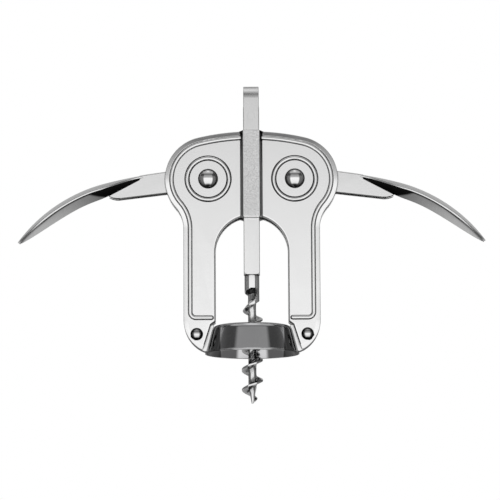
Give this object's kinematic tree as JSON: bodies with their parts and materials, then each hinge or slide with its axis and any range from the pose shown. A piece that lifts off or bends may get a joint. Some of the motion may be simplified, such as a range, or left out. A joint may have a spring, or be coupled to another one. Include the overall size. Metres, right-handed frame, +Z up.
{
  "type": "wing corkscrew",
  "caption": "Wing corkscrew: two geared levers turn on riveted plates and drive a toothed bar with a worm through a bell-shaped collar.",
  "frame": {"origin": "centre of the ring under the collar's top that meets the bottle's lip, on the worm's axis", "axes": "+Z up along the worm's axis towards the hanging loop, +X towards the right lever's pivot, -Y out of the front plate"},
  "size_m": [0.1864, 0.0374, 0.1274],
  "materials": {
    "plates": "bright plated pressed steel, grainy in the centre channel",
    "levers": "bright plated folded sheet",
    "collar": "polished plating",
    "rivets": "polished domed heads",
    "sleeves": "turned",
    "bar": "plated, satin",
    "worm": "polished plating",
    "loop": "plated strip, satin"
  },
  "bodies": {
    "frame": {"front_plate": "plates", "back_plate": "plates", "bottle_collar": "collar", "pivot_rivets": "rivets", "pivot_sleeves": "sleeves", "collar_rivets": "rivets"},
    "left_lever": {"left_lever": "levers"},
    "right_lever": {"right_lever": "levers"},
    "rack": {"rack_bar": "bar", "worm": "worm", "hanging_loop": "loop", "loop_rivet": "bar"}
  },
  "joints": [
    {"name": "right_lever_swing", "type": "hinge", "parent": "frame", "child": "right_lever", "pos_m": [0.01725, 0, 0.0598], "axis": [0, -1, 0], "range_deg": [-51, 75]},
    {"name": "left_lever_swing", "type": "hinge", "parent": "frame", "child": "left_lever", "pos_m": [-0.01725, 0, 0.0598], "axis": [0, 1, 0], "range_deg": [-51.2, 75.2]},
    {"name": "worm_feed", "type": "slide", "parent": "frame", "child": "rack", "axis": [0, 0, -1], "range_m": [-0.0134, 0.0197]}
  ],
  "couplings": [
    {"joint": "left_lever_swing", "follows": "right_lever_swing", "ratio": 1},
    {"joint": "worm_feed", "follows": "right_lever_swing", "m_per_rad": 0.015}
  ]
}
